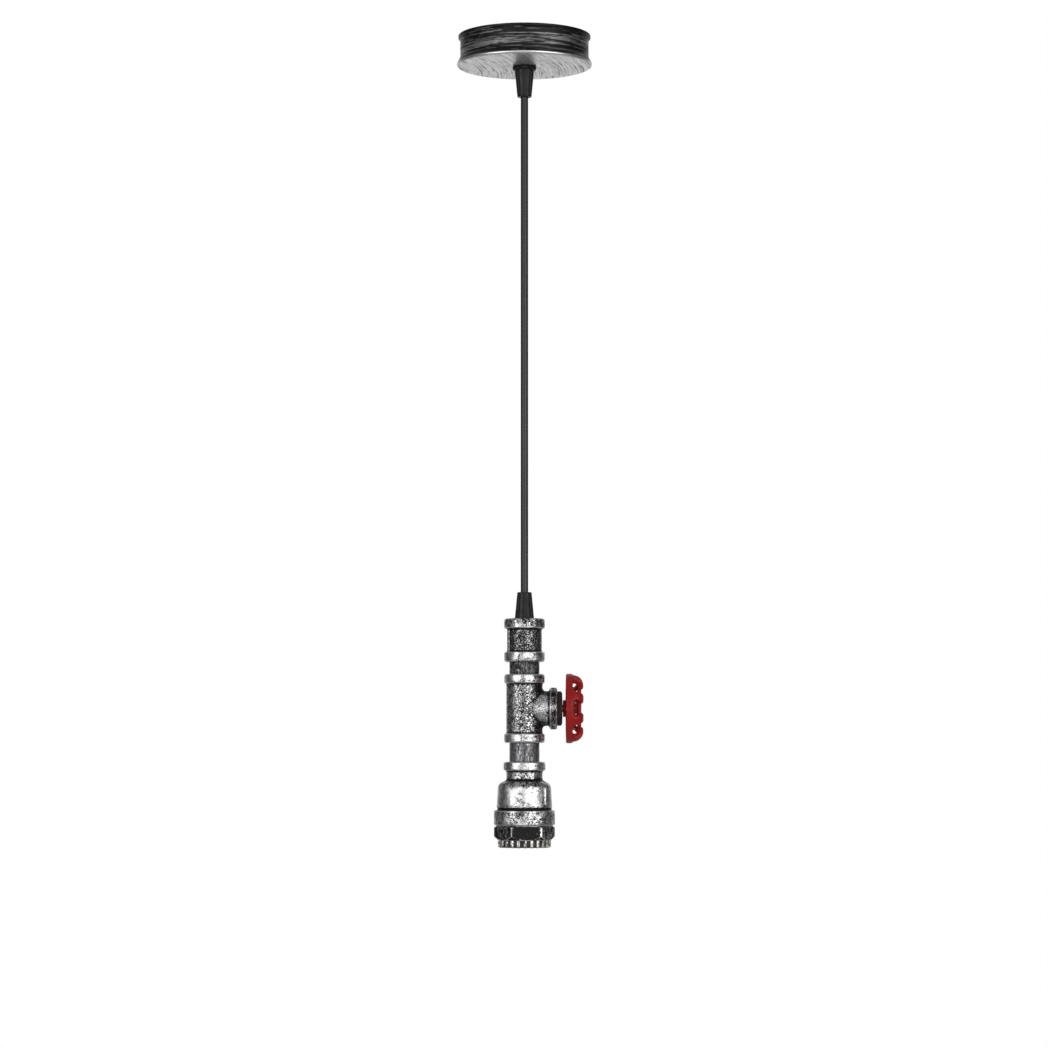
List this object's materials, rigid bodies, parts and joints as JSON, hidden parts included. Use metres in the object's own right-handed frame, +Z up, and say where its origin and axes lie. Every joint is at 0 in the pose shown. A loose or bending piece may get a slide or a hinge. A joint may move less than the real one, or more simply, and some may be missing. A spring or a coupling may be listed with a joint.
{
  "type": "pipe pendant light",
  "caption": "Pendant light of threaded pipe fittings with a red valve handwheel, a screw lamp holder in a bell-shaped reducer, a round ceiling rose and a hanging cable.",
  "frame": {"origin": "centre of the ceiling plane that the rose and its bracket rest on", "axes": "+Z up into the ceiling, +X along the tee's branch towards the handwheel, +Y towards the arm that carries the terminal block"},
  "size_m": [0.1222, 0.1222, 0.7306],
  "materials": {
    "rose_paint": "antique pewter: black base, silver dry-brushed on the edges and face",
    "cast_pewter": "rough casting, black base with silver brushed over its high spots",
    "nipple_pewter": "grey speckled antique pewter on smooth pipe",
    "ring_pewter": "silver with dark brown grooves",
    "red_paint": "satin red enamel on a rough casting",
    "grip_black": "satin black nylon",
    "cable_black": "matt black PVC sheath",
    "zinc_steel": "zinc plated",
    "brass": "plain turned brass",
    "block_nylon": "natural nylon",
    "core_brown": "brown PVC insulation",
    "core_blue": "blue PVC insulation",
    "core_green": "green and yellow PVC insulation",
    "phenolic": "black moulded phenolic",
    "porcelain": "white glazed porcelain",
    "shell_brass": "bright nickel-washed brass sheet",
    "fibre": "red vulcanised fibre"
  },
  "bodies": {
    "root": {"ceiling_bracket": "zinc_steel", "rose_cover": "rose_paint", "rose_side_screws": "zinc_steel", "terminal_block": "block_nylon", "terminal_inserts": "brass", "terminal_screws": "zinc_steel", "terminal_block_screw": "zinc_steel", "earth_tag": "brass", "earth_screw": "zinc_steel", "earth_link": "core_green", "upper_grip_body": "grip_black", "upper_grip_cap": "grip_black", "upper_grip_washer": "zinc_steel", "upper_grip_nut": "zinc_steel", "cable_in_rose": "cable_black", "rose_core_live": "core_brown", "rose_core_neutral": "core_blue", "rose_core_earth": "core_green"},
    "pendant": {"cable_drop": "cable_black", "lower_grip_cap": "grip_black", "lower_grip_body": "grip_black", "lower_grip_washer": "zinc_steel", "lower_grip_nut": "zinc_steel", "cable_in_pipe": "cable_black", "top_plug": "cast_pewter", "pipe_coupling": "cast_pewter", "upper_nipple": "nipple_pewter", "pipe_tee": "cast_pewter", "branch_bonnet": "ring_pewter", "lower_nipple": "nipple_pewter", "bell_reducer": "cast_pewter", "hex_bushing": "cast_pewter", "shade_ring": "ring_pewter", "holder_skirt": "phenolic", "holder_cap": "zinc_steel", "holder_insulator": "porcelain", "screw_shell": "shell_brass", "centre_contact": "brass", "contact_rivets": "brass", "holder_terminals": "brass", "holder_terminal_screws": "zinc_steel", "core_live": "core_brown", "core_neutral": "core_blue", "core_earth": "core_green"},
    "valve_wheel": {"valve_spindle": "zinc_steel", "spindle_washer": "fibre", "spindle_collar": "red_paint", "collar_set_screw": "zinc_steel", "handwheel": "red_paint", "wheel_washer": "zinc_steel", "wheel_screw": "zinc_steel"}
  },
  "joints": [
    {"name": "pendant_swing", "type": "hinge", "parent": "root", "child": "pendant", "pos_m": [0, 0, -0.0555], "axis": [0, 1, 0], "range_deg": [-20, 20]},
    {"name": "valve_wheel_turn", "type": "hinge", "parent": "pendant", "child": "valve_wheel", "pos_m": [0, 0, -0.60685], "axis": [1, 0, 0], "continuous": true}
  ]
}
